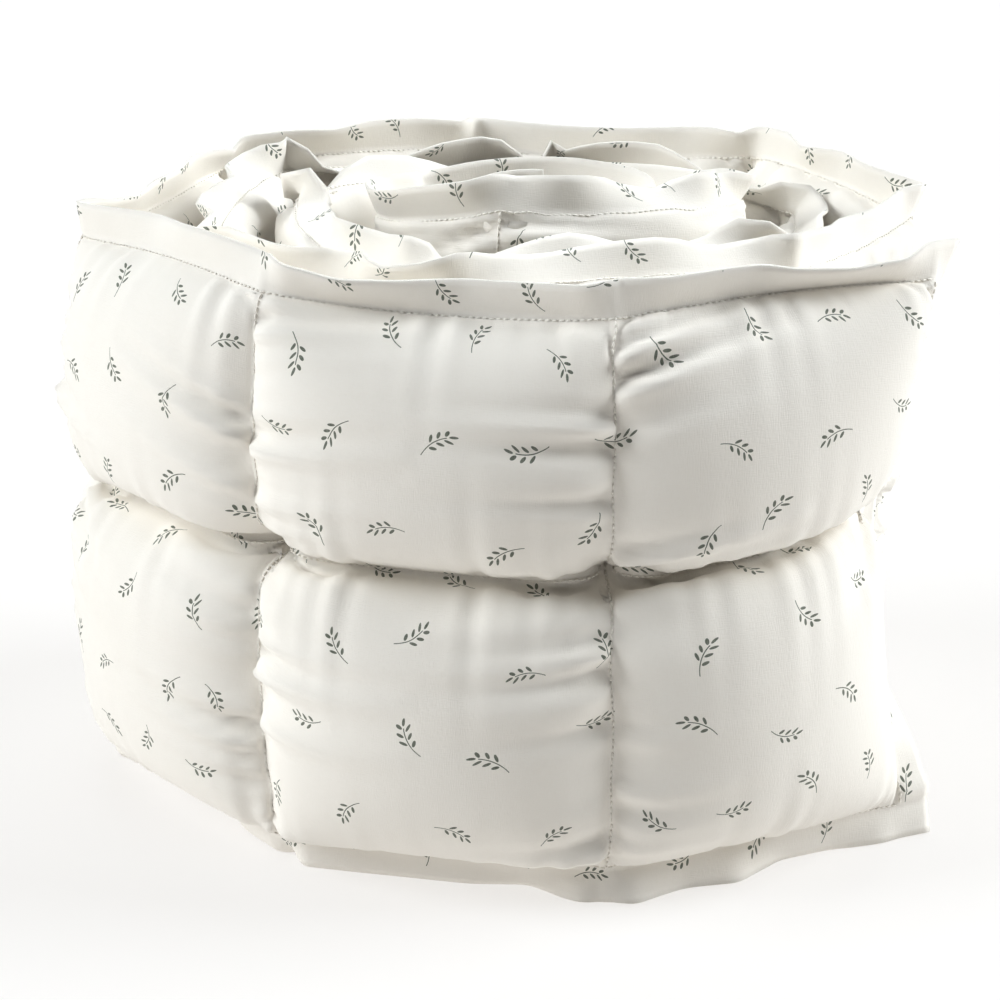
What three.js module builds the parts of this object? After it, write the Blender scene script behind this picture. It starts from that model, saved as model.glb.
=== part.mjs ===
// A quilted crib bumper, rolled up and standing on one of its long edges.
// It is one padded strip: two printed cloths with filling between them, sewn through in two rows of
// panels, with a flat sewn flange all round. Millimetres, +Z up, origin on the floor under the roll.
import * as THREE from "three";

// The strip, as the filling has drawn it in
const PANELS = 22;
const PANEL_LENGTH = 156;
const LOW_ROW = 130;
const TOP_ROW = 122;
const FLANGE = 17;
const SEWN_THICKNESS = 2.4;

// The roll, from the free end inwards, clockwise as seen from above, a little wider in X than in Y
const ROLL_AXIS = new THREE.Vector2(12.2, 10.7);
const OUTER_RADIUS = 215;
const OVAL = 0.034;
const PITCH = 41.7;
const FREE_END_DIRECTION = -35.5;
const FREE_END_FLARE = 10;
const FLARE_TURN = 40;
const CORE_RADIUS = 12;
const SEAM_BEND = 16;

// Each stretch of panels: how straight they lie between their seams, where 1 is flat and 0 follows
// the spiral, and how far their crowns stand off the seams on the outer and inner face
const STRETCHES = [
  { firstPanel: 0, flatness: 1.0, outerCrown: 30, innerCrown: 17 },
  { firstPanel: 7, flatness: 1.0, outerCrown: 17, innerCrown: 17 },
  { firstPanel: 8, flatness: 0.6, outerCrown: 16.5, innerCrown: 16 },
  { firstPanel: 14, flatness: 0.2, outerCrown: 16, innerCrown: 16 },
  { firstPanel: 19, flatness: 0.0, outerCrown: 16, innerCrown: 22 },
];
const CROWN_POWER = 0.55;

// The flanges' waves, and how far the middle seam is drawn in at the free end
const WAVE_LENGTH = 78;
const TOP_WAVE = 6;
const BOTTOM_WAVE = 3;
const RIM_WAVE = 4;
const RIM_WAVE_LENGTH = 310;
const WAIST = 8;
const END_PULL_LENGTH = 110;
const END_PULL = { along: 18, inward: 26, up: 16 };

// Where a panel and a row are cut into facets, as shares of their length and height
const PANEL_CUTS = [0, 0.07, 0.24, 0.5, 0.76, 0.93];
const ROW_CUTS = [0, 0.07, 0.25, 0.5, 0.75, 0.93];

const STRIP_LENGTH = PANELS * PANEL_LENGTH + 2 * FLANGE;
const LOW_STITCH = FLANGE;
const MIDDLE_SEAM = LOW_STITCH + LOW_ROW;
const TOP_STITCH = MIDDLE_SEAM + TOP_ROW;
const TOP_EDGE = TOP_STITCH + FLANGE;

const { clamp, degToRad, lerp, smoothstep } = THREE.MathUtils;

// The strip's middle line in plan, as a spiral that flares out at the free end.
class RollSpiral extends THREE.Curve {
  turns = (OUTER_RADIUS - CORE_RADIUS) / PITCH;
  arcLengthDivisions = 3000;

  getPoint(share, target = new THREE.Vector2()) {
    const turned = share * this.turns * 360;
    const flare = FREE_END_FLARE * Math.max(0, 1 - turned / FLARE_TURN) ** 2;
    const direction = degToRad(FREE_END_DIRECTION - turned);
    const round = OUTER_RADIUS - (PITCH * turned) / 360 + flare;
    const radius = round * (1 + OVAL * Math.cos(2 * direction));
    return target.set(Math.cos(direction), Math.sin(direction)).multiplyScalar(radius).add(ROLL_AXIS);
  }
}

const spiral = new RollSpiral();
const spiralAt = (along) => spiral.getPointAt(clamp(along / spiral.getLength(), 0, 1));
const seamAt = (panel) => FLANGE + panel * PANEL_LENGTH;
const panelAt = (along) => clamp(Math.floor((along - FLANGE) / PANEL_LENGTH), 0, PANELS - 1);
const stretchOf = (panel) => STRETCHES.findLast((stretch) => panel >= stretch.firstPanel);

// The strip's plan place at a length along it: panels lie partly straight between their seams.
function planPoint(along) {
  const panel = panelAt(along);
  const share = (along - seamAt(panel)) / PANEL_LENGTH;
  const chord = spiralAt(seamAt(panel)).lerp(spiralAt(seamAt(panel + 1)), share);
  return spiralAt(along).lerp(chord, stretchOf(panel).flatness);
}

// The direction out of the roll, smoothed over the bend at each seam.
function outward(along) {
  const tangent = planPoint(along + SEAM_BEND).sub(planPoint(along - SEAM_BEND)).normalize();
  return new THREE.Vector2(-tangent.y, tangent.x);
}

// 0 at both ends of a span and 1 in its middle, with the full shoulder of a stuffed panel.
const crownShare = (share) => Math.max(0, 4 * share * (1 - share)) ** CROWN_POWER;

// 1 at the middle seam and 0 at the stitch lines and beyond.
const middleShare = (height) => clamp(1 - Math.abs(height - MIDDLE_SEAM) / TOP_ROW, 0, 1);

// Half the strip's thickness at a place, on its outer or inner face.
function halfThickness(along, height, face) {
  const panel = panelAt(along);
  const across = clamp((along - seamAt(panel)) / PANEL_LENGTH, 0, 1);
  const up = height < MIDDLE_SEAM ? (height - LOW_STITCH) / LOW_ROW : (height - MIDDLE_SEAM) / TOP_ROW;
  const { outerCrown, innerCrown } = stretchOf(panel);
  const crown = face > 0 ? outerCrown : innerCrown;
  return SEWN_THICKNESS / 2 + crown * crownShare(across) * crownShare(clamp(up, 0, 1));
}

// How far the strip's middle surface stands out of its plan line: waved flanges and a slight waist.
function sway(along, height) {
  const wave = Math.sin((2 * Math.PI * along) / WAVE_LENGTH);
  const topShare = clamp((height - TOP_STITCH) / FLANGE, 0, 1);
  const lowShare = clamp((LOW_STITCH - height) / FLANGE, 0, 1);
  return TOP_WAVE * wave * topShare + BOTTOM_WAVE * wave * lowShare - WAIST * middleShare(height);
}

// A point of one face of the strip, in the roll.
function facePoint(along, height, face) {
  const pulled = (1 - smoothstep(along, 0, END_PULL_LENGTH)) * middleShare(height);
  const place = planPoint(along + END_PULL.along * pulled);
  const out = outward(along);
  const offset = face * halfThickness(along, height, face) + sway(along, height) - END_PULL.inward * pulled;
  const rim = RIM_WAVE * Math.sin((2 * Math.PI * along) / RIM_WAVE_LENGTH) * (height / TOP_EDGE);
  const lift = height > 0 ? END_PULL.up * pulled + rim : 0;
  return new THREE.Vector3(place.x + out.x * offset, place.y + out.y * offset, height + lift);
}

function lengthCuts() {
  const cuts = [0];
  for (let panel = 0; panel < PANELS; panel++) {
    cuts.push(...PANEL_CUTS.map((share) => seamAt(panel) + share * PANEL_LENGTH));
  }
  return [...cuts, seamAt(PANELS), STRIP_LENGTH];
}

function heightCuts() {
  const low = ROW_CUTS.map((share) => lerp(LOW_STITCH, MIDDLE_SEAM, share));
  const high = ROW_CUTS.map((share) => lerp(MIDDLE_SEAM, TOP_STITCH, share));
  return [0, ...low, ...high, TOP_STITCH, TOP_EDGE];
}

// The strip as one closed skin: up the outer face, over the top edge and down the inner face.
function stripGeometry() {
  const lengths = lengthCuts();
  const heights = heightCuts();
  const outerFace = heights.map((height) => [height, 1]);
  const innerFace = heights.toReversed().map((height) => [height, -1]);
  const ring = [...outerFace, ...innerFace];
  const points = lengths.flatMap((along) => ring.map(([height, face]) => facePoint(along, height, face)));
  const at = (column, row) => column * ring.length + (row % ring.length);
  const faces = [];
  const quad = (a, b, c, d) => faces.push(a, b, c, a, c, d);
  for (let column = 0; column + 1 < lengths.length; column++) {
    for (let row = 0; row < ring.length; row++) {
      quad(at(column, row), at(column, row + 1), at(column + 1, row + 1), at(column + 1, row));
    }
  }
  const last = lengths.length - 1;
  for (let row = 0; row + 1 < heights.length; row++) {
    const across = ring.length - 1 - row;
    quad(at(0, row), at(0, across), at(0, across - 1), at(0, row + 1));
    quad(at(last, row), at(last, row + 1), at(last, across - 1), at(last, across));
  }
  const geometry = new THREE.BufferGeometry().setFromPoints(points).setIndex(faces);
  geometry.computeVertexNormals();
  return geometry;
}

const cotton = new THREE.MeshStandardMaterial({ color: 0xf4efe4, roughness: 0.9, metalness: 0 });
const strip = new THREE.Mesh(stripGeometry(), cotton);
strip.name = "quilted_strip";

const bumper = new THREE.Group();
bumper.add(strip);

export default bumper;
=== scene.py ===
"""A quilted crib bumper, rolled up and standing on one of its long edges.

The strip is two printed cottons with filling between them, sewn through in two rows of panels inside a
flat flange. Each face is a grid in the coordinates of the flat cut. The grid is rolled up along a spiral
with its seams drawn in, and then the faces are inflated and settled as cloth."""

import math

import bpy
import numpy as np
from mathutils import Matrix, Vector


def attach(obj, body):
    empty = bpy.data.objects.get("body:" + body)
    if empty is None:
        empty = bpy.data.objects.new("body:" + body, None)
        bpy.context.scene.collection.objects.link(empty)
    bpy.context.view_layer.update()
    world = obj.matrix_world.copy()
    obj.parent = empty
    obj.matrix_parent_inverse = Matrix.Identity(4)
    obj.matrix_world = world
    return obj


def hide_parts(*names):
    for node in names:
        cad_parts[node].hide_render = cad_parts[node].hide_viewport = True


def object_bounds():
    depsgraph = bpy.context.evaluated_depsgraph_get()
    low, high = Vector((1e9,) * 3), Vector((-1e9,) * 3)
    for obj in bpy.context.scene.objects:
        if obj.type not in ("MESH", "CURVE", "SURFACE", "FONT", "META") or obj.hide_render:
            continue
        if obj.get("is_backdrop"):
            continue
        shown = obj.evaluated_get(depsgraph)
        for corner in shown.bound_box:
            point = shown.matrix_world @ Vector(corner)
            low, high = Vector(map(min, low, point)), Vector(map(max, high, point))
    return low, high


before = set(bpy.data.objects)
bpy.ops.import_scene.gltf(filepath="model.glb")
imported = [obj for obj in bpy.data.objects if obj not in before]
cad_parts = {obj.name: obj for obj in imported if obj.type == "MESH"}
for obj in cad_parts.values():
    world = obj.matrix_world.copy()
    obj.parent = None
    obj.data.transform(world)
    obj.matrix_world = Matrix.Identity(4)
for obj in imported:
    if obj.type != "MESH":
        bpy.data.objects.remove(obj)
cad_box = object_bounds()

# The strip as the filling has drawn it in, in metres
PANELS = 22
PANEL = 0.156
LOW_ROW = 0.130
TOP_ROW = 0.122
FLANGE = 0.017
SEWN_HALF = 0.0011
HEM_HALF = 0.0007

# The roll, from the free end inwards
ROLL_AXIS = (0.0122, 0.0107)
OUTER_RADIUS = 0.215
OVAL = 0.034
PITCH = 0.0417
CORE_RADIUS = 0.012
FREE_END_DIRECTION = -35.5
FREE_END_FLARE = 0.010
FLARE_TURN = 40.0
SEAM_BEND = 0.016
SPIRAL_STEPS = 40000

# Each stretch of panels: how straight they lie, the room that their outer and inner crowns have, and the
# grid's cells along each of them; then the cells across a row and a flange, and how far they crowd at seams
STRETCHES = [
    {"first": 0, "flatness": 1.0, "outer": 0.0360, "inner": 0.0180, "cells": 60},
    {"first": 3, "flatness": 1.0, "outer": 0.0360, "inner": 0.0180, "cells": 26},
    {"first": 7, "flatness": 1.0, "outer": 0.0070, "inner": 0.0180, "cells": 26},
    {"first": 8, "flatness": 0.6, "outer": 0.0175, "inner": 0.0170, "cells": 16},
    {"first": 14, "flatness": 0.2, "outer": 0.0170, "inner": 0.0170, "cells": 16},
    {"first": 19, "flatness": 0.0, "outer": 0.0170, "inner": 0.0220, "cells": 16},
]
ROW_CELLS = 40
FLANGE_CELLS = 5
EASING = 0.4

# How much longer the flat cloth is than the drawn-in strip, along it and, at heights above the lower stitch
# line, across it, where most is eased in at the middle seam; and how this varies
SPARE_LENGTH = 1.036
SPARE_WIDTHS = (
    (0.000, 1.20),
    (0.030, 1.14),
    (0.100, 1.14),
    (0.118, 1.75),
    (0.130, 2.50),
    (0.142, 1.15),
    (0.165, 1.08),
    (0.210, 1.03),
    (0.252, 1.00),
)
SPARE_SPREAD = 0.012
WIDTH_STEPS = 2000
# Shares of the cloth's width taken up beside the cross seams and round the crossings of seams, and how far
# these reach; then how near to a cross seam the filling starts
SNUG = 0.050
SNUG_REACH = 0.016
CORNER = 0.150
CROSSING_REACH = 0.007
SEAM_REACH = 0.004

# How far the middle seam stands out and rides up, the dimple where seams cross, and how far the cross seams
# wander, at how many points
MIDDLE_OUT = 0.004
MIDDLE_UP = 0.006
DIMPLE = 0.030
DIMPLE_REACH = 0.008
SEAM_WANDER = 0.0010
WANDER_KNOTS = 22
# How far the free end's middle is pulled in, and how this fades over the lower row
END_PULL_LENGTH = 0.110
END_PULL_ALONG = 0.018
END_PULL_INWARD = 0.026
END_PULL_UP = 0.016
LOW_PULL_POWER = 0.6
# The rim's waves, and how uneven they are after the first seams
RIM_WAVE = 0.004
RIM_WAVE_LENGTH = 0.310
RIM_SPREAD = 0.006
EVEN_SEAMS = 9

# Lengths along the strip and how far it stands out of its plan line there: at the top, at the floor and
# within each row
SHIFTS = (
    (0.000, -0.002, -0.012, 0.004),
    (0.173, 0.000, 0.000, 0.011),
    (0.329, 0.002, 0.000, 0.005),
    (0.485, 0.012, 0.010, 0.005),
    (0.641, 0.000, 0.000, 0.005),
    (0.850, 0.000, 0.000, 0.005),
    (1.109, 0.000, -0.023, 0.000),
    (1.380, 0.000, 0.000, 0.005),
    (1.850, 0.000, 0.000, 0.005),
    (2.110, 0.000, -0.014, 0.005),
    (2.350, 0.000, 0.000, 0.005),
    (2.700, 0.000, 0.000, 0.005),
    (2.880, 0.000, -0.006, 0.005),
    (3.040, 0.000, 0.000, 0.005),
)

# How far the flanges lean out of the roll, in degrees: the top flange on each panel of the outer turn, the
# range within the roll, the low flange with its pinches at the seams, the spread at the leans along each
# panel, and the top flange's pinch at each seam with its half width along the strip
TOP_LEANS = (24, 28, -6, -25, -12, -8, -10, 0)
INNER_LEAN = 70
LOW_LEANS = (6, -10, -25)
LOW_PINCHES = (0, 2, -34)
LEAN_SPREAD = 14
INNER_SPREAD = 24
PINCH_LEAN = 30
PINCH = 0.010
LEANS_TO_A_PANEL = 6
LEAN_SOFTENING = 0.004
SOFTENING_STEPS = 5
# Lengths from the free end and how far its flanges lean there, in degrees
TOP_EAR = ((0, -14), (0.019, 2), (0.036, 44), (0.065, 56), (0.092, 48), (0.108, 30), (0.150, 24))
LOW_EAR = ((0, 12), (0.017, 8))
# Heights on the free end and how far its flange is folded back there, in degrees
END_FOLDS = ((0, 0), (0.035, 10), (0.085, 90), (0.235, 90), (0.272, 40), (0.289, 5))

# The plain crowns that the faces start with: how they are rounded and how full they are, and their rumples
CROWN_POWER = 0.55
START_FULLNESS = 0.8
RUMPLE = 0.0008
RUMPLE_ROUNDS = 2

# The settling: its steps and sweeps, the filling's push and the gap between the faces that ends it, the
# cloth's weight, and the share of its speed that it keeps
STEPS = 180
SWEEPS = 3
PUFF = 0.00008
LOFT = 0.075
WEIGHT = 0.000006
SPEED_KEPT = 0.90
# How firmly seams and flanges are held to their line, and the cloth's stiffness to shear, to bending and to
# being pushed together
SEAM_HOLD = 0.25
FLANGE_HOLD = 0.08
SHEAR = 0.25
BEND = 0.04
FLANGE_BEND = 0.2
BUCKLE = 0.8
# The gap between cells at a seam, how steeply their crease rises from it, how far a cell swells over the
# top stitch line, and the gap to the floor
SEAM_GAP = 0.0004
CREASE_SLOPE = 0.45
TOP_SWELL = 0.001
FLOOR_GAP = 0.0005
# The seed of the random draws, the least lengths to divide by, and what rounding may lose
SEED = 11
SHORTEST = 1e-6
TINY = 1e-12
ROUNDING = 1e-9

# The gathers beside the cross seams and the long seams: their depth and how far they reach, how near to a
# seam they start and how much they fan out, then their lengths and those over which they come and go, about
# a base and up to a limit
CROSS_GATHER = 0.0022
CROSS_REACH = 0.030
LONG_GATHER = 0.0006
LONG_REACH = 0.020
GATHER_FADE = 0.003
GATHER_FAN = 0.35
GATHER_LENGTHS = (0.0127, 0.0171, 0.0243)
SWELL_LENGTHS = (0.079, 0.113)
SWELL_BASE = 0.8
SWELL_LIMIT = 1.4

# The stitches, and how far along a seam each takes its direction from; then a bead of thread, as shares of a
# stitch's half length, half width and half height
STITCH_PITCH = 0.0030
STITCH_LENGTH = 0.0026
STITCH_WIDTH = 0.0010
STITCH_RISE = 0.0003
STITCH_REACH = 0.001
BEAD_POINTS = (
    (-1, 0, 0), (-0.6, 1, 0), (-0.6, 0, 1), (-0.6, -1, 0), (-0.6, 0, -1),
    (0.6, 1, 0), (0.6, 0, 1), (0.6, -1, 0), (0.6, 0, -1), (1, 0, 0),
)
BEAD_ENDS = ((0, 2, 1), (0, 3, 2), (0, 4, 3), (0, 1, 4), (9, 5, 6), (9, 6, 7), (9, 7, 8), (9, 8, 5))
BEAD_SIDES = ((1, 2, 6, 5), (2, 3, 7, 6), (3, 4, 8, 7), (4, 1, 5, 8))

# The print, in metres of flat cloth: how the sprigs are scattered and which random layers place and shape
# them, a sprig's stem and leaflets, and how far up the inner cloth's print lies
SPRIG_SPACING = 0.040
SPRIG_STAGGER = 0.37
SPRIG_JITTER = 0.46
SPRIG_SIZE = 0.80
SPRIG_SIZE_SPREAD = 0.16
PLACE_DRAW = 0.5
SHAPE_DRAW = 7.5
STEM_CURVE = 32.0
STEM_HALF = 0.00024
STEM_SPAN = (-0.0084, 0.0064)
LEAF_PITCH = 0.0040
LEAF_SLANT = 0.75
LEAF_ALTERNATE = 0.4
LEAF_OUT = 0.0022
LEAF_HALF_LENGTH = 0.0018
LEAF_HALF_WIDTH = 0.00074
LEAF_SPAN = (-0.0040, 0.0080)
TIP_LEAF = 0.0092
LEAF_EDGE = 0.15
INNER_PRINT = 1.0

# The cloth's colours, how much its weave and its blotches vary them, and how much the ink covers
CREAM_LIGHT = (0.900, 0.868, 0.808, 1)
CREAM_SHADE = (0.860, 0.815, 0.742, 1)
SPRIG_GREEN = (0.085, 0.106, 0.072, 1)
WEAVE_TONE = 0.35
BLOTCH_TONE = 0.6
INK_COVER = 0.62
INK_WEAVE = 0.25
# The threads and blotches to a metre, how much longer than wide a thread's slubs are, and the weave's depth
THREADS = 2200
SLUB = 9
BLOTCHES = 22
THREAD_DETAIL = 1.0
BLOTCH_DETAIL = 3.0
WEAVE_DEPTH = 0.0002
WEAVE_STRENGTH = 0.5
# How the cloth reflects
ROUGHNESS = 0.75
WEAVE_ROUGHNESS = 0.1
SPECULAR = 0.25
SHEEN = 0.2
SHEEN_ROUGHNESS = 0.5

# The camera, with its tilt in degrees and its lens and sensor in millimetres
CAMERA_PLACE = (-0.0054, -1.3032, 0.55)
CAMERA_TILT = 72
LENS = 99
SENSOR = 36

# The broad soft lights: name, azimuth and elevation in degrees, and strength; then the spread, in degrees,
# and the colour of them all
SUNS = (
    ("left", 186, 31, 2.8),
    ("right", 8, 31, 3.5),
    ("above", 270, 78, 0.5),
    ("behind", 90, 58, 0.8),
)
SUN_SPREAD = 36
SUN_COLOUR = (0.925, 0.965, 1.0)

# The pale floor, which glows a little, the sky and the picture's contrast
FLOOR_SIZE = 12
FLOOR_SHADE = (0.22, 0.22, 0.22, 1)
FLOOR_ROUGHNESS = 0.9
FLOOR_GLOW = (1.0, 0.98, 0.955, 1)
FLOOR_STRENGTH = 0.70
SKY_COLOUR = (1, 1, 1, 1)
SKY_STRENGTH = 0.02
GAMMA = 0.86

# The strip's rows, from the lower edge up
LOW_STITCH = FLANGE
MIDDLE_SEAM = LOW_STITCH + LOW_ROW
TOP_STITCH = MIDDLE_SEAM + TOP_ROW
TOP_EDGE = TOP_STITCH + FLANGE


def spiral_table():
    """The roll's plan line, as lengths along it and the points there."""
    turned = np.linspace(0, 360 * (OUTER_RADIUS - CORE_RADIUS) / PITCH, SPIRAL_STEPS + 1)
    flare = FREE_END_FLARE * np.clip(1 - turned / FLARE_TURN, 0, None) ** 2
    direction = np.radians(FREE_END_DIRECTION - turned)
    radius = (OUTER_RADIUS - PITCH * turned / 360 + flare) * (1 + OVAL * np.cos(2 * direction))
    points = np.stack([radius * np.cos(direction), radius * np.sin(direction)], -1) + ROLL_AXIS
    steps = np.hypot(*np.diff(points, axis=0).T)
    return np.concatenate([[0], np.cumsum(steps)]), points


SPIRAL_LENGTHS, SPIRAL_POINTS = spiral_table()


def spiral_at(along):
    return np.stack([np.interp(along, SPIRAL_LENGTHS, axis) for axis in SPIRAL_POINTS.T], -1)


def panel_at(along):
    return np.clip(np.floor((along - FLANGE) / PANEL + ROUNDING), 0, PANELS - 1).astype(int)


def stretch_values(panel, key):
    """One column of the table of stretches, for each panel number."""
    first = [stretch["first"] for stretch in STRETCHES]
    values = np.array([stretch[key] for stretch in STRETCHES])
    return values[np.searchsorted(first, panel, side="right") - 1]


def plan_at(along):
    """The strip's plan place: panels lie partly straight between their seams."""
    panel = panel_at(along)
    start = FLANGE + panel * PANEL
    share = ((along - start) / PANEL)[..., None]
    chord = spiral_at(start) * (1 - share) + spiral_at(start + PANEL) * share
    flatness = stretch_values(panel, "flatness")[..., None]
    return spiral_at(along) * (1 - flatness) + chord * flatness


def outward_at(along):
    """The direction out of the roll, smoothed over the bend at each seam."""
    tangent = plan_at(along + SEAM_BEND) - plan_at(along - SEAM_BEND)
    tangent /= np.linalg.norm(tangent, axis=-1, keepdims=True)
    return np.stack([-tangent[..., 1], tangent[..., 0]], -1)


def along_strip(outward):
    """The direction along the strip, away from the free end."""
    return np.stack([outward[..., 1], -outward[..., 0]], -1)


def eased(cells):
    """Shares from 0 to 1 that lie closer together near both ends."""
    share = np.linspace(0, 1, cells + 1)
    return (1 - EASING) * share + EASING / 2 * (1 - np.cos(np.pi * share))


def length_lines():
    """The grid's lines along the strip: drawn-in length, flat length and which of them are seams."""
    edge = np.linspace(0, FLANGE, FLANGE_CELLS + 1)
    shares = [panel + eased(stretch_values(panel, "cells"))[:-1] for panel in range(PANELS)]
    seams = FLANGE_CELLS + np.cumsum([0] + [len(share) for share in shares])
    body = np.concatenate(shares) * PANEL
    drawn = [edge[:-1], FLANGE + body, FLANGE + PANELS * PANEL + edge]
    flat = [edge[:-1], FLANGE + body * SPARE_LENGTH, FLANGE + PANELS * PANEL * SPARE_LENGTH + edge]
    return np.concatenate(drawn), np.concatenate(flat), seams


def cut_width(above):
    """The flat cloth's width from the lower stitch line up to a height above it."""
    heights = np.linspace(0, LOW_ROW + TOP_ROW, WIDTH_STEPS + 1)
    spare = np.interp(heights, *np.transpose(SPARE_WIDTHS))
    widths = np.cumsum(spare) * heights[1]
    return np.interp(above, heights, widths - widths[0])


def height_lines():
    """The grid's lines across the strip: drawn-in height, flat width and the three stitched rows."""
    edge = np.linspace(0, FLANGE, FLANGE_CELLS + 1)
    share = eased(ROW_CELLS)[:-1]
    body = np.concatenate([share * LOW_ROW, LOW_ROW + share * TOP_ROW])
    width = LOW_ROW + TOP_ROW
    drawn = [edge[:-1], FLANGE + body, FLANGE + width + edge]
    flat = [edge[:-1], FLANGE + cut_width(body), FLANGE + cut_width(width) + edge]
    rows = [FLANGE_CELLS + ROW_CELLS * row for row in range(3)]
    return np.concatenate(drawn), np.concatenate(flat), rows


def smoothed(noise, rounds):
    """Noise blurred over the grid's neighbours, brought back to a spread of 1."""
    for _ in range(rounds):
        for axis in (1, 2):
            noise = noise + np.roll(noise, 1, axis) + np.roll(noise, -1, axis)
    return noise / noise.std()


class Strip:
    """The strip's grid, its held seams and its two faces as they settle."""

    def __init__(self):
        self.along, self.flat_length, self.seams = length_lines()
        self.height, self.flat_width, self.rows = height_lines()
        self.panel = panel_at(self.along)
        gaps = np.abs(self.along[:, None] - self.along[self.seams])
        self.seam = gaps.argmin(1)
        self.beside = gaps.min(1)
        self.crossing = np.hypot(self.beside[:, None], self.height[None, :] - MIDDLE_SEAM)
        self.plan = plan_at(self.along)
        self.outward = outward_at(self.along)
        self.random = np.random.default_rng(SEED)
        low = np.clip((self.height - LOW_STITCH) / LOW_ROW, 0, 1)
        top = np.clip((self.height - MIDDLE_SEAM) / TOP_ROW, 0, 1)
        self.row_share = np.where(self.height < MIDDLE_SEAM, low, top)
        self.mark_seams()
        self.place_middle()
        self.inflate()

    def mark_seams(self):
        """Where the faces are sewn to each other along a line, and where they lie together as flange."""
        shape = (len(self.along), len(self.height))
        first, last = self.seams[0], self.seams[-1]
        low, _, top = self.rows
        self.sewn = np.zeros(shape, bool)
        self.sewn[self.seams, low:top + 1] = True
        self.sewn[first:last + 1, self.rows] = True
        self.flange = np.ones(shape, bool)
        self.flange[first:last + 1, low:top + 1] = False
        self.joined = self.sewn | self.flange
        self.half = np.full(shape, SEWN_HALF)
        self.half[[0, -1]] = HEM_HALF
        self.half[:, [0, -1]] = HEM_HALF
        beside = 1 - np.exp(-self.beside / SEAM_REACH)[:, None]
        self.filled = beside * (1 - np.exp(-(self.crossing / CROSSING_REACH) ** 2)) * ~self.joined

    def place_middle(self):
        """The strip's middle surface, where its seams are held and its flanges are laid."""
        along = self.along[:, None]
        height = self.height[None, :]
        above = np.clip(height - TOP_STITCH, 0, None)
        below = np.clip(LOW_STITCH - height, 0, None)
        beyond = np.clip(FLANGE - along, 0, None)
        share = np.clip(1 - np.abs(height - MIDDLE_SEAM) / TOP_ROW, 0, 1)
        ease = np.clip(along / END_PULL_LENGTH, 0, 1)
        pull_share = np.where(height < MIDDLE_SEAM, share ** LOW_PULL_POWER, share)
        pulled = (1 - ease * ease * (3 - 2 * ease)) * pull_share
        top_lean, low_lean = self.flange_leans()
        fold = np.radians(np.interp(height, *np.transpose(END_FOLDS)))
        self.pull_in = END_PULL_INWARD * pulled
        shift = self.shifts()
        offset = shift + MIDDLE_OUT * share - self.pull_in - self.seam_dimples() - beyond * np.sin(fold)
        offset = offset + above * np.sin(top_lean) + below * np.tan(low_lean)
        wave = RIM_WAVE * np.sin(2 * np.pi * self.along / RIM_WAVE_LENGTH)
        is_uneven = np.arange(len(self.seams)) >= EVEN_SEAMS
        uneven = RIM_SPREAD * self.random.normal(size=len(self.seams)) * is_uneven
        wave += np.interp(self.along, self.along[self.seams], uneven)
        rim = wave[:, None] * height / TOP_EDGE
        level = height - above * (1 - np.cos(top_lean)) + rim + MIDDLE_UP * share + END_PULL_UP * pulled
        place = plan_at(np.maximum(along, FLANGE) + END_PULL_ALONG * pulled + self.seam_wander())
        place = place - along_strip(self.outward)[:, None] * (beyond * np.cos(fold))[..., None]
        place = place + self.outward[:, None] * offset[..., None]
        self.middle = np.stack([place[..., 0], place[..., 1], level])

    def shifts(self):
        """How far the strip stands out of its plan line, from its top to the floor."""
        lengths, *columns = np.transpose(SHIFTS)
        top, floor, bulge = [np.interp(self.along, lengths, column)[:, None] for column in columns]
        share = self.height[None, :] / TOP_EDGE
        rounded = np.sqrt(4 * self.row_share * (1 - self.row_share))
        return top * share + floor * (1 - share) + bulge * rounded

    def seam_dimples(self):
        """How far the strip is drawn in round each crossing of the middle seam and a cross seam."""
        return DIMPLE * np.exp(-(self.crossing / DIMPLE_REACH) ** 2)

    def seam_wander(self):
        """How far each cross seam after the free end's wanders along the strip, as its gathers pull it."""
        knots = np.linspace(LOW_STITCH, TOP_STITCH, WANDER_KNOTS)
        aside = np.random.default_rng(SEED).normal(0, SEAM_WANDER, (len(self.seams), WANDER_KNOTS))
        aside[0] = 0
        lines = np.stack([np.interp(self.height, knots, line) for line in aside])
        return lines[self.seam] * np.exp(-self.beside / SEAM_BEND)[:, None]

    def flange_leans(self):
        """How far the flanges lean out of the roll: flat facets, pinched into a pleat at each seam."""
        inner = self.random.uniform(-INNER_LEAN, INNER_LEAN, PANELS - len(TOP_LEANS))
        top_pinch = PINCH_LEAN * self.random.choice([-1, 1], PANELS)
        top = self.pleated(TOP_EAR, np.concatenate([TOP_LEANS, inner]), top_pinch)
        low_leans, low_pinches = [
            np.pad(values, (0, PANELS - len(values))) for values in (LOW_LEANS, LOW_PINCHES)
        ]
        low = self.pleated(LOW_EAR, low_leans, low_pinches)
        return np.radians(top)[:, None], np.radians(low)[:, None]

    def pleated(self, ear, leans, pinches):
        """A lean for each line of the grid: at the free end's corner, on each panel and at each seam."""
        knots, values = map(list, zip(*ear))
        for panel, lean in enumerate(leans):
            seam = FLANGE + panel * PANEL
            if panel:
                knots.append(seam)
                values.append((leans[panel - 1] + lean) / 2 + pinches[panel])
            spread = LEAN_SPREAD if panel < len(TOP_LEANS) else INNER_SPREAD
            for place in np.linspace(PINCH, PANEL - PINCH, LEANS_TO_A_PANEL):
                if seam + place > knots[-1]:
                    knots.append(seam + place)
                    values.append(lean + self.random.normal(0, spread))
        shifts = np.linspace(-LEAN_SOFTENING, LEAN_SOFTENING, SOFTENING_STEPS)
        return np.mean([np.interp(self.along + shift, knots, values) for shift in shifts], 0)

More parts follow.
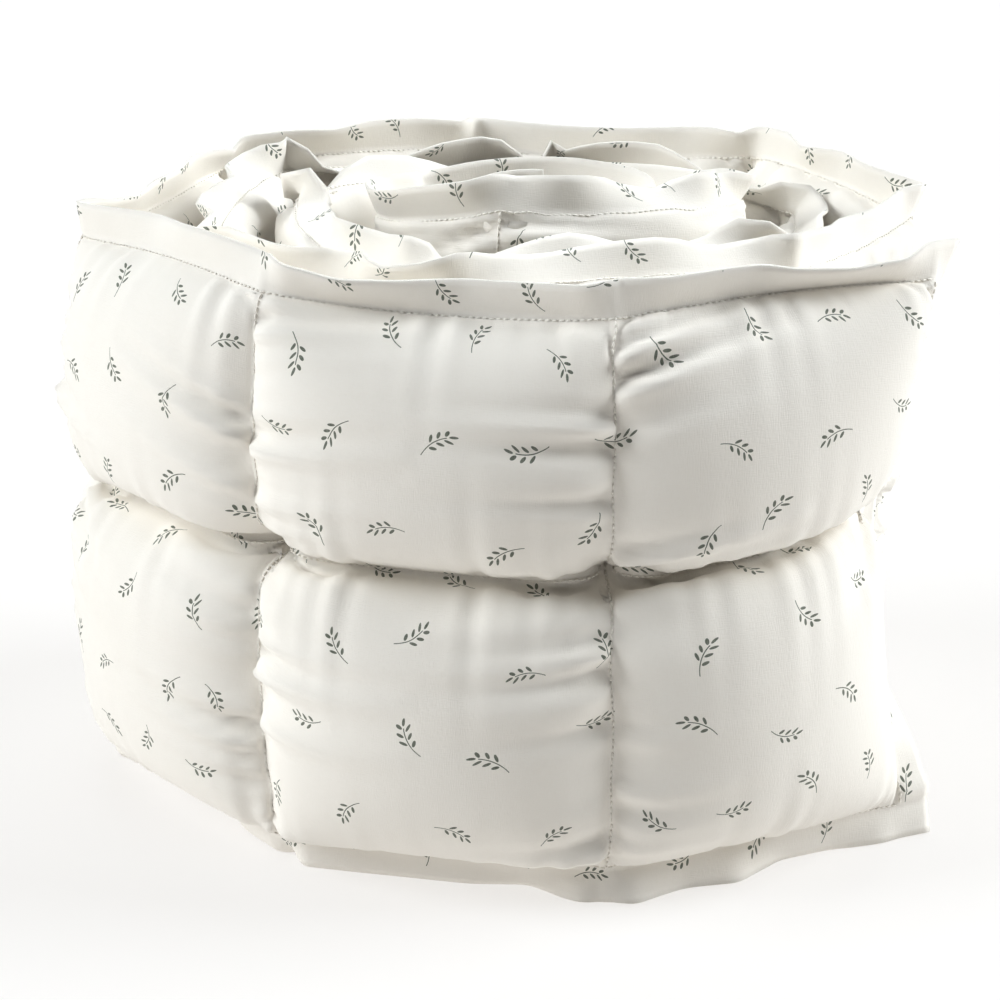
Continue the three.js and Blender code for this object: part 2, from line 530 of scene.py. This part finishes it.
    def inflate(self):
        """Both faces, puffed out by a plain crown in each cell and a little rumpled."""
        across = np.clip((self.along - FLANGE) / PANEL - self.panel, 0, 1)[:, None]
        up = self.row_share
        crown = (16 * across * (1 - across) * up * (1 - up)) ** CROWN_POWER
        outer, inner = [stretch_values(self.panel, key)[:, None] for key in ("outer", "inner")]
        shift = self.shifts()
        self.room = np.stack([outer + shift, inner - shift + self.pull_in])
        half = self.half + START_FULLNESS * np.stack([outer, inner]) * crown
        half = half + crown * RUMPLE * smoothed(self.random.normal(size=half.shape), RUMPLE_ROUNDS)
        side = np.array([1.0, -1.0])[:, None, None]
        self.points = np.repeat(self.middle[:, None], 2, axis=1)
        self.points[:2] += side * half * self.outward.T[:, None, :, None]

    def normals(self):
        """Unit normals of both faces, out of the filling."""
        du = np.gradient(self.points, axis=2)
        dv = np.gradient(self.points, axis=3)
        normal = np.cross(dv, du, axis=0)
        normal[:, 1] *= -1
        return normal / np.maximum(np.sqrt((normal ** 2).sum(0)), TINY)

    def threads(self):
        """Pairs of grid points that the cloth ties together: their slices, distance and stiffness."""
        length = self.flat_length[:, None]
        width = self.flat_width[None, :]
        stiff = np.where(self.flange, FLANGE_BEND, BEND)
        ones = np.ones_like(stiff)
        kinds = []
        for parity in (0, 1):
            kinds.append((np.s_[parity:-1:2, :], np.s_[parity + 1::2, :], ones))
        for parity in (0, 1):
            kinds.append((np.s_[:, parity:-1:2], np.s_[:, parity + 1::2], ones))
        kinds.append((np.s_[:-1, :-1], np.s_[1:, 1:], SHEAR * ones))
        kinds.append((np.s_[1:, :-1], np.s_[:-1, 1:], SHEAR * ones))
        kinds.append((np.s_[:-2, :], np.s_[2:, :], stiff))
        kinds.append((np.s_[:, :-2], np.s_[:, 2:], stiff))
        spread = self.cell_spread()
        snug = 1 - SNUG * np.exp(-self.beside / SNUG_REACH)[:, None]
        snug = snug - CORNER * np.exp(-(self.crossing / CROSSING_REACH) ** 2)
        grid_length = length * ones
        grid_width = width * ones
        both_faces = (slice(None), slice(None))
        tied = []
        for first, second, stiffness in kinds:
            rise = (grid_width[second] - grid_width[first]) * snug[first]
            flat = np.hypot(grid_length[second] - grid_length[first], rise)
            gap = self.middle[:, *second] - self.middle[:, *first]
            placed = np.sqrt((gap * gap).sum(0))
            rest = np.where(self.joined[first] & self.joined[second], placed, flat * spread[first])
            tied.append(((*both_faces, *first), (*both_faces, *second), rest, stiffness[first]))
        return tied

    def cell_spread(self):
        """Each cell's cloth is cut and filled a little unevenly."""
        cells = 1 + self.random.uniform(-SPARE_SPREAD, SPARE_SPREAD, (PANELS, 2))
        row = (np.arange(len(self.height)) >= self.rows[1]).astype(int)
        return cells[self.panel[:, None], row[None, :]]

    def settle(self):
        """Inflates the faces until the cloth is taut, with the seams held and the turns kept apart."""
        threads = self.threads()
        speed = np.zeros_like(self.points)
        for _ in range(STEPS):
            normal = self.normals()
            before = self.points.copy()
            gap = self.points[:, 0] - self.points[:, 1]
            loft = np.clip(1 - np.sqrt((gap * gap).sum(0)) / LOFT, 0, 1)
            self.points += SPEED_KEPT * speed + PUFF * loft * self.filled * normal
            self.points[2] -= WEIGHT
            for _ in range(SWEEPS):
                for first, second, rest, stiffness in threads:
                    draw(self.points, first, second, rest, stiffness)
                self.hold(normal)
            speed = self.points - before

    def gather(self):
        """Uneven gathers beside the seams, about square to them; the free end's seam has none."""
        side = 2 * self.seam + (self.along > self.along[self.seams[self.seam]])
        fan = self.random.uniform(-GATHER_FAN, GATHER_FAN, 2 * len(self.seams))[side]
        place = self.height[None, :] + (fan * self.beside)[:, None]
        strength = np.exp(-self.beside / CROSS_REACH) - np.exp(-self.beside / GATHER_FADE)
        cross = self.ripples(place, side[:, None]) * (CROSS_GATHER * strength * (self.seam > 0))[:, None]
        row = np.abs(self.height[:, None] - self.height[self.rows]).argmin(1)
        away = np.abs(self.height - self.height[self.rows][row])
        strength = np.exp(-away / LONG_REACH) - np.exp(-away / GATHER_FADE)
        long = self.ripples(self.along[:, None], row[None, :]) * LONG_GATHER * strength
        self.points += (cross + long) * self.normals() * ~self.joined

    def ripples(self, place, seam):
        """Waves of cloth along some numbered seams, for both faces, that come and go."""
        lengths = GATHER_LENGTHS + SWELL_LENGTHS
        phase = self.random.uniform(0, 2 * np.pi, (len(lengths), 2, seam.max() + 1))[:, :, seam]
        waves = [np.sin(2 * np.pi * place / size + start) for size, start in zip(lengths, phase)]
        gathers = sum(waves[:len(GATHER_LENGTHS)])
        swells = sum(waves[len(GATHER_LENGTHS):])
        return gathers * np.clip(SWELL_BASE + swells, 0, SWELL_LIMIT)

    def hold(self, normal):
        """Keeps the seams near their line, the flange's faces together and each turn in its own room."""
        middle = self.points.mean(1)
        middle += np.where(self.flange, FLANGE_HOLD, SEAM_HOLD * self.sewn) * (self.middle - middle)
        facing = normal[:, 0] - normal[:, 1]
        facing /= np.maximum(np.sqrt((facing ** 2).sum(0)), TINY)
        for face, side in enumerate((1, -1)):
            sewn = middle + side * self.half * facing
            self.points[:, face] = np.where(self.joined, sewn, self.points[:, face])
        out = self.outward.T[:, None, :, None]
        offset = ((self.points[:2] - self.plan.T[:, None, :, None]) * out).sum(0)
        kept = np.stack([np.minimum(offset[0], self.room[0]), np.maximum(offset[1], -self.room[1])])
        self.points[:2] += np.where(self.joined, 0, kept - offset) * out
        self.part_cells()
        np.maximum(self.points[2], FLOOR_GAP, out=self.points[2])

    def part_cells(self):
        """Keeps each cell's cloth on its own side of the seams round it, where neighbours press together."""
        low, middle, top = self.rows
        body = np.s_[:, self.seams[0]:self.seams[-1] + 1]
        level = self.points[2][body]
        offset = (self.points[:2, :, body[1]] * self.outward.T[:, None, body[1], None]).sum(0)
        crease = level[..., middle, None] + CREASE_SLOPE * np.abs(offset - offset[..., middle, None])
        lower = level[..., low:middle]
        upper = level[..., middle + 1:top + 1]
        np.minimum(lower, crease[..., low:middle] - SEAM_GAP, out=lower)
        np.maximum(upper, crease[..., middle + 1:top + 1] + SEAM_GAP, out=upper)
        np.minimum(upper, level[..., top, None] + TOP_SWELL, out=upper)
        free = ~self.joined[body[1]]
        for end, side in ((0, 1), (1, -1)):
            seam = FLANGE + (self.panel[body[1]] + end) * PANEL
            inward = (side * along_strip(outward_at(seam))).T[:, None, :, None]
            past = ((self.points[:2, :, body[1]] - plan_at(seam).T[:, None, :, None]) * inward).sum(0)
            self.points[:2, :, body[1]] += free * np.clip(SEAM_GAP - past, 0, None) * inward


def draw(points, first, second, rest, stiffness):
    """Moves two sets of points towards their distance apart in the flat cloth, which buckles more easily
    than it stretches."""
    gap = points[second] - points[first]
    length = np.sqrt((gap * gap).sum(0))
    pull = 1 - rest / np.maximum(length, SHORTEST)
    pull = np.where(pull < 0, BUCKLE * pull, pull)
    gap *= 0.5 * stiffness * pull
    points[first] += gap
    points[second] -= gap


def strip_mesh(strip):
    """The two faces as one closed mesh, joined round the flange's edge, with the flat cut as its UV map."""
    nu, nv = len(strip.along), len(strip.height)
    index = np.arange(2 * nu * nv).reshape(2, nu, nv)
    outer, inner = index

    def grid_faces(grid):
        return np.stack([grid[:-1, :-1], grid[:-1, 1:], grid[1:, 1:], grid[1:, :-1]], -1).reshape(-1, 4)

    def edge_faces(a, b):
        return np.stack([a[:-1], b[:-1], b[1:], a[1:]], -1)

    quads = [grid_faces(outer), grid_faces(inner)[:, ::-1]]
    quads.append(edge_faces(outer[:, -1], inner[:, -1]))
    quads.append(edge_faces(inner[:, 0], outer[:, 0]))
    quads.append(edge_faces(outer[0], inner[0]))
    quads.append(edge_faces(inner[-1], outer[-1]))
    quads = np.concatenate(quads)
    mesh = bpy.data.meshes.new("quilt")
    mesh.from_pydata(np.moveaxis(strip.points, 0, -1).reshape(-1, 3), [], quads)
    flat = np.zeros((2, nu, nv, 2))
    flat[..., 0] = strip.flat_length[None, :, None]
    flat[..., 1] = strip.flat_width[None, None, :] + np.array([0, INNER_PRINT])[:, None, None]
    layer = mesh.uv_layers.new(name="FlatCut")
    layer.data.foreach_set("uv", flat.reshape(-1, 2)[quads.reshape(-1)].ravel())
    mesh.polygons.foreach_set("use_smooth", np.ones(len(quads), bool))
    mesh.update()
    return mesh


class Shading:
    """A material, with short ways to add and join its nodes."""

    def __init__(self, name):
        self.material = bpy.data.materials.new(name)
        self.material.use_nodes = True
        self.tree = self.material.node_tree
        self.shader = self.tree.nodes["Principled BSDF"]

    def feed(self, socket, value):
        """Joins another node's socket to this one, or sets its value."""
        if isinstance(value, bpy.types.NodeSocket):
            self.tree.links.new(value, socket)
        else:
            socket.default_value = value

    def node(self, kind, inputs=(), **settings):
        """A node with its settings made and its inputs fed, by name or by number."""
        node = self.tree.nodes.new("ShaderNode" + kind)
        for key, value in settings.items():
            setattr(node, key, value)
        for key, value in dict(inputs).items():
            self.feed(node.inputs[key], value)
        return node

    def math(self, operation, *values):
        return self.node("Math", enumerate(values), operation=operation).outputs[0]

    def vector(self, x, y, z=0.0):
        return self.node("CombineXYZ", enumerate((x, y, z))).outputs[0]

    def parts(self, vector):
        return self.node("SeparateXYZ", {0: vector}).outputs[:3]

    def random(self, x, y, z):
        """Three random numbers from 0 to 1 for each whole place."""
        noise = self.node("TexWhiteNoise", {"Vector": self.vector(x, y, z)})
        return self.parts(noise.outputs["Color"])

    def noise(self, vector, detail):
        texture = self.node("TexNoise", {"Vector": vector, "Scale": 1.0, "Detail": detail})
        return texture.outputs[0]

    def mix(self, share, first, second):
        return self.node("Mix", {"Factor": share, 6: first, 7: second}, data_type="RGBA").outputs[2]

    def within(self, value, low, high):
        """1 where a value lies between two bounds and 0 elsewhere."""
        above = self.math("GREATER_THAN", value, low)
        return self.math("MULTIPLY", above, self.math("LESS_THAN", value, high))


def square_share(shading, value, half):
    """The square of a distance as a share of a half width."""
    return shading.math("POWER", shading.math("DIVIDE", shading.math("ABSOLUTE", value), half), 2.0)


def oval(shading, along, half_length, across, half_width):
    """1 within an oval and 0 outside it, with a slightly soft edge."""
    lengthwise = square_share(shading, along, half_length)
    crosswise = square_share(shading, across, half_width)
    reach = shading.math("ADD", lengthwise, crosswise)
    return shading.node("MapRange", {0: reach, 1: 1 + LEAF_EDGE, 2: 1 - LEAF_EDGE}).outputs[0]


def sprig_place(shading, length, width):
    """The place on a sprig, along and across its stem, for a place on the flat cloth: sprigs lie one to a
    square of the cloth, each set off the square's middle and turned its own way."""
    math_node = shading.math
    row = math_node("FLOOR", math_node("DIVIDE", width, SPRIG_SPACING))
    staggered = math_node("MULTIPLY_ADD", row, SPRIG_STAGGER, math_node("DIVIDE", length, SPRIG_SPACING))
    column = math_node("FLOOR", staggered)
    aside, upward, turn = shading.random(column, row, PLACE_DRAW)
    size, hand, _ = shading.random(column, row, SHAPE_DRAW)
    local = []
    for place, shift in ((staggered, aside), (math_node("DIVIDE", width, SPRIG_SPACING), upward)):
        centred = math_node("SUBTRACT", math_node("FRACT", place), 0.5)
        shifted = math_node("MULTIPLY_ADD", math_node("SUBTRACT", shift, 0.5), SPRIG_JITTER, centred)
        local.append(math_node("MULTIPLY", shifted, SPRIG_SPACING))
    angle = math_node("MULTIPLY", turn, 2 * math.pi)
    cosine = math_node("COSINE", angle)
    sine = math_node("SINE", angle)
    along = math_node("MULTIPLY_ADD", local[0], cosine, math_node("MULTIPLY", local[1], sine))
    turned = math_node("MULTIPLY", local[1], cosine)
    across = math_node("SUBTRACT", turned, math_node("MULTIPLY", local[0], sine))
    scale = math_node("MULTIPLY_ADD", size, SPRIG_SIZE_SPREAD, SPRIG_SIZE)
    side = math_node("SIGN", math_node("SUBTRACT", hand, 0.5))
    along = math_node("DIVIDE", along, scale)
    across = math_node("MULTIPLY", math_node("DIVIDE", across, scale), side)
    return along, across


def sprig_ink(shading, length, width):
    """1 on the printed sprigs and 0 on the plain cloth: a curved stem with slim leaflets on both sides."""
    math_node = shading.math
    along, across = sprig_place(shading, length, width)
    curve = math_node("MULTIPLY", math_node("MULTIPLY", along, along), STEM_CURVE)
    bent = math_node("SUBTRACT", across, curve)
    side = math_node("ABSOLUTE", bent)
    on_stem = math_node("LESS_THAN", side, STEM_HALF)
    stem = math_node("MULTIPLY", on_stem, shading.within(along, *STEM_SPAN))
    slanted = math_node("MULTIPLY_ADD", side, -LEAF_SLANT, along)
    alternate = math_node("MULTIPLY", math_node("GREATER_THAN", bent, 0.0), LEAF_ALTERNATE * LEAF_PITCH)
    placed = math_node("ADD", slanted, alternate)
    step = math_node("SUBTRACT", math_node("FRACT", math_node("DIVIDE", placed, LEAF_PITCH)), 0.5)
    leaf_across = math_node("MULTIPLY", step, LEAF_PITCH / math.hypot(1, LEAF_SLANT))
    leaf_along = math_node("MULTIPLY", math_node("SUBTRACT", side, LEAF_OUT), math.hypot(1, LEAF_SLANT))
    leaf = oval(shading, leaf_along, LEAF_HALF_LENGTH, leaf_across, LEAF_HALF_WIDTH)
    leaves = math_node("MULTIPLY", leaf, shading.within(placed, *LEAF_SPAN))
    beyond = math_node("SUBTRACT", along, TIP_LEAF)
    tip = oval(shading, beyond, LEAF_HALF_LENGTH, bent, LEAF_HALF_WIDTH)
    return math_node("MAXIMUM", stem, math_node("MAXIMUM", leaves, tip))


def cotton(name, printed):
    """Woven cream cotton, with sprigs printed on it or plain as thread."""
    shading = Shading(name)
    flat = shading.node("UVMap", uv_map="FlatCut").outputs[0]
    length, width, _ = shading.parts(flat)
    fine_length, fine_width = [shading.math("MULTIPLY", part, THREADS) for part in (length, width)]
    slub_length, slub_width = [shading.math("MULTIPLY", part, THREADS / SLUB) for part in (length, width)]
    warp = shading.noise(shading.vector(fine_length, slub_width), THREAD_DETAIL)
    weft = shading.noise(shading.vector(slub_length, fine_width), THREAD_DETAIL)
    weave = shading.math("ADD", warp, weft)
    scaled = shading.node("VectorMath", {0: flat, 1: (BLOTCHES,) * 3}, operation="MULTIPLY")
    blotch = shading.noise(scaled.outputs[0], BLOTCH_DETAIL)
    tone = shading.math("MULTIPLY_ADD", weave, WEAVE_TONE, shading.math("MULTIPLY", blotch, BLOTCH_TONE))
    colour = shading.mix(tone, CREAM_SHADE, CREAM_LIGHT)
    if printed:
        faded = shading.math("MULTIPLY_ADD", weave, INK_WEAVE, INK_COVER)
        ink = shading.math("MULTIPLY", sprig_ink(shading, length, width), faded)
        colour = shading.mix(ink, colour, SPRIG_GREEN)
    bump = shading.node("Bump", {"Height": weave, "Strength": WEAVE_STRENGTH, "Distance": WEAVE_DEPTH})
    rough = shading.math("MULTIPLY_ADD", weave, WEAVE_ROUGHNESS, ROUGHNESS)
    surface = shading.shader.inputs
    shading.feed(surface["Base Color"], colour)
    shading.feed(surface["Roughness"], rough)
    shading.feed(surface["Normal"], bump.outputs[0])
    surface["Specular IOR Level"].default_value = SPECULAR
    surface["Sheen Weight"].default_value = SHEEN
    surface["Sheen Roughness"].default_value = SHEEN_ROUGHNESS
    return shading.material


def stitch_lines(strip):
    """The sewn lines of both faces: their points and the directions out of the cloth there."""
    low, _, top = strip.rows
    first, last = strip.seams[0], strip.seams[-1]
    out = strip.normals()
    facing = out[:, 0] - out[:, 1]
    facing /= np.sqrt((facing ** 2).sum(0))
    lines = [np.s_[:, seam, low:top + 1] for seam in strip.seams]
    lines += [np.s_[:, first:last + 1, row] for row in strip.rows]
    for face, side in enumerate((1, -1)):
        for line in lines:
            yield strip.points[:, face][line].T, side * facing[line].T


def stitch_mesh(strip):
    """Every stitch as a small bead of thread along its seam, all in one mesh."""
    middles, ways, facings = [], [], []
    for points, facing in stitch_lines(strip):
        lengths = np.concatenate([[0], np.cumsum(np.linalg.norm(np.diff(points, axis=0), axis=1))])
        places = np.arange(STITCH_PITCH, lengths[-1], STITCH_PITCH)
        sampled = ((places + STITCH_REACH, points), (places - STITCH_REACH, points), (places, facing))
        ahead, behind, out = [
            np.stack([np.interp(at, lengths, axis) for axis in values.T], -1) for at, values in sampled
        ]
        middles.append((ahead + behind) / 2 + STITCH_RISE * out)
        ways.append(ahead - behind)
        facings.append(out)
    middle, way, facing = map(np.concatenate, (middles, ways, facings))
    way /= np.linalg.norm(way, axis=1, keepdims=True)
    cross = np.cross(facing, way)
    cross /= np.linalg.norm(cross, axis=1, keepdims=True)
    axes = np.stack([way * STITCH_LENGTH, cross * STITCH_WIDTH, facing * STITCH_WIDTH], 1) / 2
    bead = np.array(BEAD_POINTS)
    points = middle[:, None] + np.einsum("pk,nkc->npc", bead, axes)
    offsets = len(bead) * np.arange(len(middle))[:, None, None]
    faces = []
    for shape in (BEAD_ENDS, BEAD_SIDES):
        faces += (offsets + np.array(shape)).reshape(-1, len(shape[0])).tolist()
    mesh = bpy.data.meshes.new("stitches")
    mesh.from_pydata(points.reshape(-1, 3), [], faces)
    layer = mesh.uv_layers.new(name="FlatCut")
    corners = np.empty(len(mesh.loops), int)
    mesh.loops.foreach_get("vertex_index", corners)
    layer.data.foreach_set("uv", points.reshape(-1, 3)[corners][:, [0, 2]].ravel())
    mesh.polygons.foreach_set("use_smooth", np.ones(len(faces), bool))
    mesh.update()
    return mesh


def add_piece(name, mesh, material):
    piece = bpy.data.objects.new(name, mesh)
    bpy.context.scene.collection.objects.link(piece)
    piece.data.materials.append(material)
    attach(piece, "root")
    return piece


def add_camera():
    camera = bpy.data.objects.new("camera", bpy.data.cameras.new("camera"))
    bpy.context.scene.collection.objects.link(camera)
    camera.location = CAMERA_PLACE
    camera.rotation_euler = (math.radians(CAMERA_TILT), 0, 0)
    camera.data.lens = LENS
    camera.data.sensor_width = SENSOR
    bpy.context.scene.camera = camera


def add_sun(name, azimuth, elevation, strength):
    """A broad soft light from one side, as from a large diffuser."""
    light = bpy.data.lights.new(name, "SUN")
    light.energy = strength
    light.angle = math.radians(SUN_SPREAD)
    light.color = SUN_COLOUR
    lamp = bpy.data.objects.new(name, light)
    lamp.rotation_euler = (math.radians(90 - elevation), 0, math.radians(azimuth + 90))
    bpy.context.scene.collection.objects.link(lamp)


def add_studio():
    bpy.ops.mesh.primitive_plane_add(size=FLOOR_SIZE)
    floor = bpy.context.object
    floor.name = "floor"
    white = bpy.data.materials.new("floor_white")
    white.use_nodes = True
    surface = white.node_tree.nodes["Principled BSDF"].inputs
    surface["Base Color"].default_value = FLOOR_SHADE
    surface["Roughness"].default_value = FLOOR_ROUGHNESS
    surface["Emission Color"].default_value = FLOOR_GLOW
    surface["Emission Strength"].default_value = FLOOR_STRENGTH
    floor.data.materials.append(white)
    floor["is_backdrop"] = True
    world = bpy.data.worlds.new("studio")
    world.use_nodes = True
    sky = world.node_tree.nodes["Background"].inputs
    sky["Color"].default_value = SKY_COLOUR
    sky["Strength"].default_value = SKY_STRENGTH
    bpy.context.scene.world = world
    bpy.context.scene.view_settings.view_transform = "Standard"
    bpy.context.scene.view_settings.gamma = GAMMA
    for sun in SUNS:
        add_sun(*sun)


add_camera()
add_studio()
strip = Strip()
strip.settle()
strip.gather()
quilt = add_piece("quilt", strip_mesh(strip), cotton("printed_cotton", True))
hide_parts("quilted_strip")
add_piece("stitches", stitch_mesh(strip), cotton("thread", False))

boxes = {"cad": cad_box, "visual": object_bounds()}
{name: [list(map(float, corner)) for corner in box] for name, box in boxes.items()}
